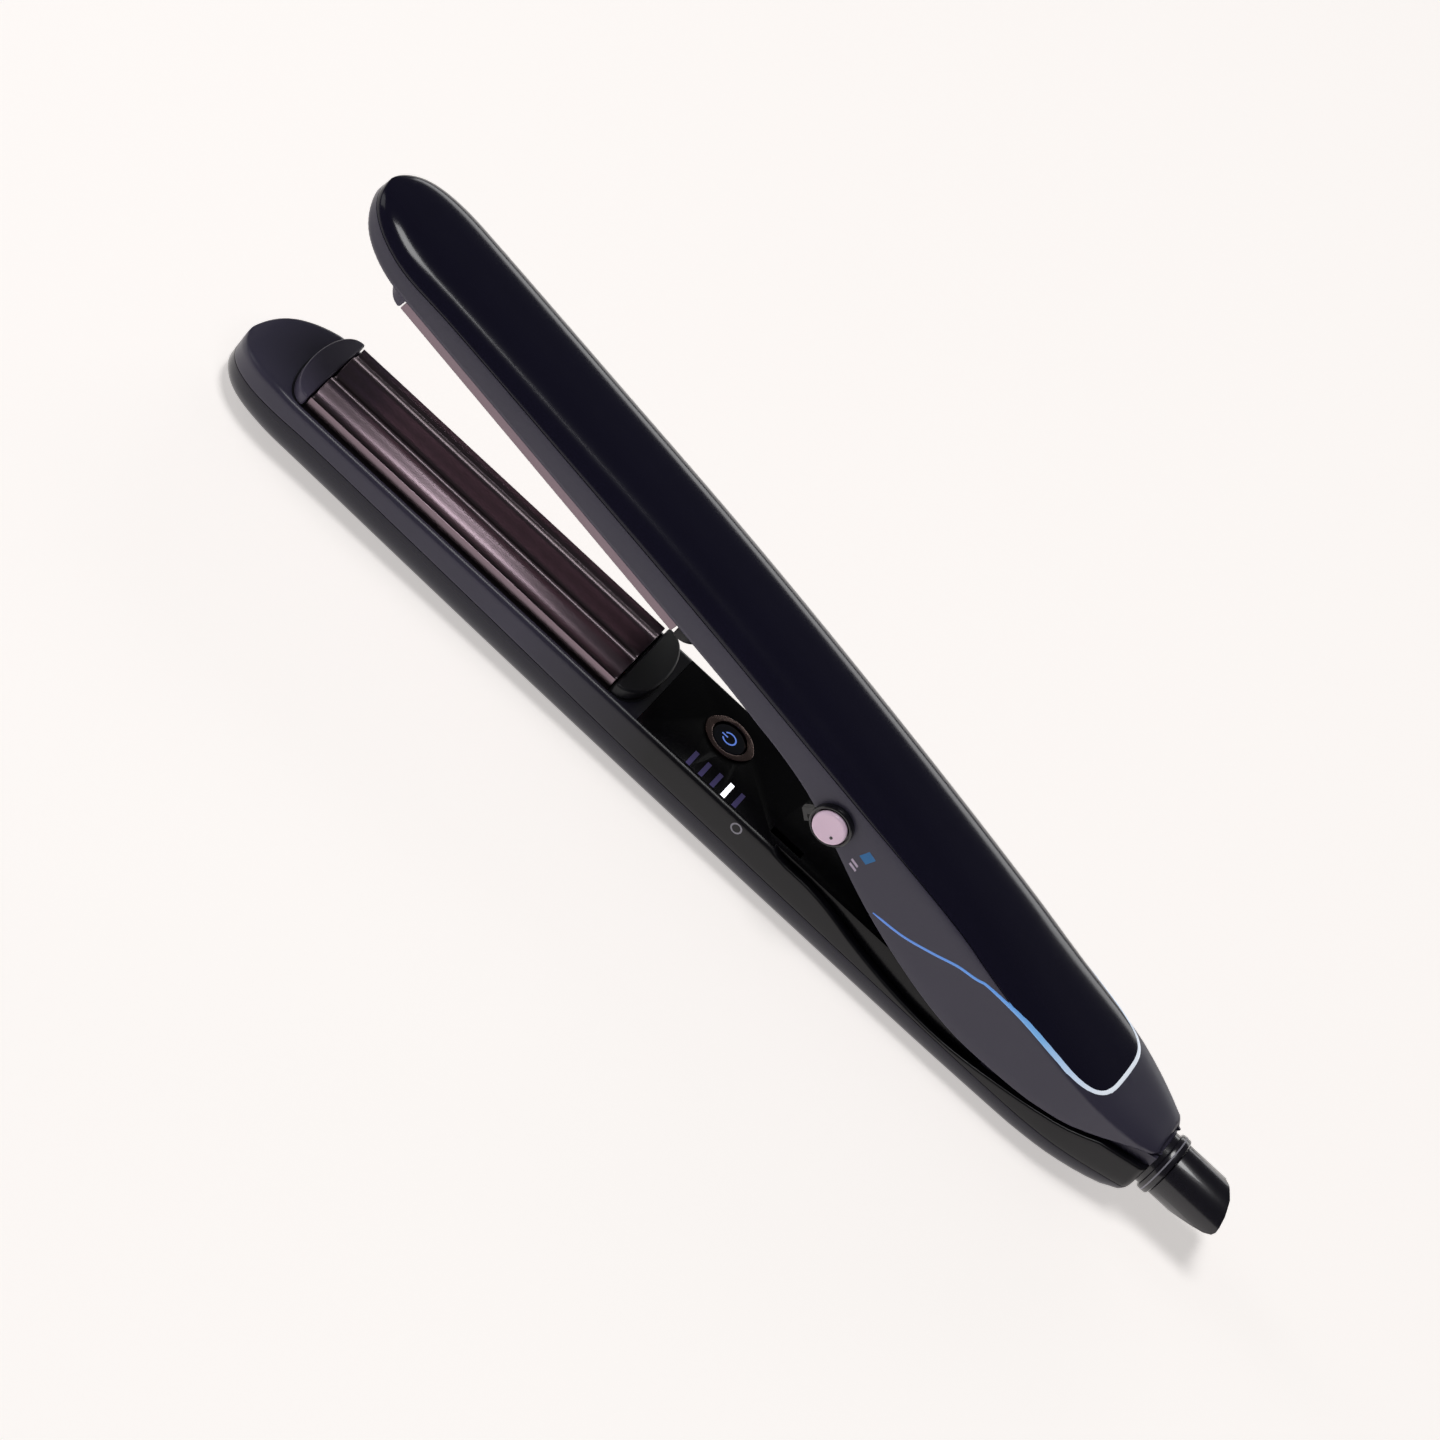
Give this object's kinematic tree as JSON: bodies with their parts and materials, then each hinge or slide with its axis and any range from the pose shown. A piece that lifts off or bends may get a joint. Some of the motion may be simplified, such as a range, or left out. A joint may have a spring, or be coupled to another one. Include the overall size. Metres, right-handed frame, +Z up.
{
  "type": "curling iron",
  "caption": "Handheld hair iron with hinged arms, corrugated floating hot plates, a control panel with power button, side lock knob and a swivelling cord inlet.",
  "frame": {"origin": "centre of the outer box in X and Y, on the surface the lower arm rests on", "axes": "+X from the nose of the arms to the cord inlet, +Y across towards the side without the lock knob, +Z up; the upper arm opens towards +Z"},
  "size_m": [0.3016, 0.0335, 0.0735],
  "materials": {
    "shell_gloss": "glossy dark navy",
    "housing_satin": "satin dark gray",
    "panel_gloss": "glossy near-black",
    "cap_gray": "satin gray, heat resistant",
    "cap_black": "matt black, heat resistant",
    "plate": "polished, titanium-coloured coating",
    "carrier": "matt black, heat resistant",
    "ceramic": "heating element",
    "steel": "plain",
    "clip_aluminium": "plain",
    "sensor": "coated",
    "silicone": "soft",
    "washer": "self-lubricating",
    "bronze": "sintered",
    "copper": "plain",
    "board": "solder mask",
    "switch_black": "plain",
    "light_guide": "tinted, translucent",
    "light_guide_lit": "lit white",
    "bezel": "dark bronze",
    "button": "glossy with a lit blue mark",
    "trim": "blue-silver",
    "swivel_black": "glossy black",
    "holder_black": "plain",
    "knob_face": "pale pink-white",
    "knob_black": "near-black",
    "wire": "silicone-sleeved wire"
  },
  "bodies": {
    "lower_arm": {"lower_housing": "housing_satin", "lower_cover": "shell_gloss", "control_panel": "panel_gloss", "lower_carrier": "carrier", "lower_front_cap": "cap_gray", "lower_rear_cap": "cap_black", "lower_cushions": "silicone", "tail_block": "housing_satin", "hinge_pin": "steel", "hinge_spring": "steel", "thrust_washers": "washer", "circuit_board": "board", "tact_switch": "switch_black", "led_bars": "light_guide", "led_lit_bar": "light_guide_lit", "power_bezel": "bezel", "keeper": "steel", "brush_holder": "holder_black", "contact_brushes": "copper", "swivel_collar": "swivel_black", "lower_screws": "steel", "lower_wires": "wire"},
    "lower_plate_float": {"lower_plate": "plate", "lower_heater": "ceramic", "lower_heat_clip": "clip_aluminium", "lower_thermistor": "sensor"},
    "power_button": {"power_button": "button"},
    "upper_arm": {"upper_housing": "housing_satin", "upper_cover": "shell_gloss", "upper_trim": "trim", "upper_carrier": "carrier", "upper_front_cap": "cap_gray", "upper_rear_cap": "cap_black", "upper_cushions": "silicone", "hinge_bushes": "bronze", "knob_ring": "knob_black", "upper_screws": "steel", "upper_wires": "wire"},
    "upper_plate_float": {"upper_plate": "plate", "upper_heater": "ceramic", "upper_heat_clip": "clip_aluminium", "thermal_fuse": "sensor"},
    "lock_knob": {"lock_knob": "knob_face", "lock_hook": "knob_black"},
    "swivel": {"swivel_sleeve": "swivel_black", "contact_rings": "copper"}
  },
  "joints": [
    {"name": "arm_hinge", "type": "hinge", "parent": "lower_arm", "child": "upper_arm", "pos_m": [0.09527, 0.00126, 0.021], "axis": [0, 1, 0], "range_deg": [-9.4, 0], "stiffness_Nm_per_rad": 2, "springref_deg": 20.05, "deforming": ["hinge_spring"]},
    {"name": "lower_plate_slide", "type": "slide", "parent": "lower_arm", "child": "lower_plate_float", "axis": [0, 0, -1], "range_m": [0, 0.0006], "stiffness_N_per_m": 4000, "springref_m": -0.001, "deforming": ["lower_cushions"]},
    {"name": "upper_plate_slide", "type": "slide", "parent": "upper_arm", "child": "upper_plate_float", "axis": [0.1633, 0, 0.9866], "range_m": [0, 0.0006], "stiffness_N_per_m": 4000, "springref_m": -0.001, "deforming": ["upper_cushions"]},
    {"name": "power_button_press", "type": "slide", "parent": "lower_arm", "child": "power_button", "axis": [0, 0, -1], "range_m": [0, 0.0005], "stiffness_N_per_m": 500, "springref_m": -0.001},
    {"name": "lock_knob_turn", "type": "hinge", "parent": "upper_arm", "child": "lock_knob", "pos_m": [0.02314, 0.00126, 0.03527], "axis": [0, 1, 0], "range_deg": [-35, 0]},
    {"name": "cord_swivel", "type": "hinge", "parent": "lower_arm", "child": "swivel", "pos_m": [0.12878, 0.00126, 0.015], "axis": [1, 0, 0], "continuous": true}
  ]
}
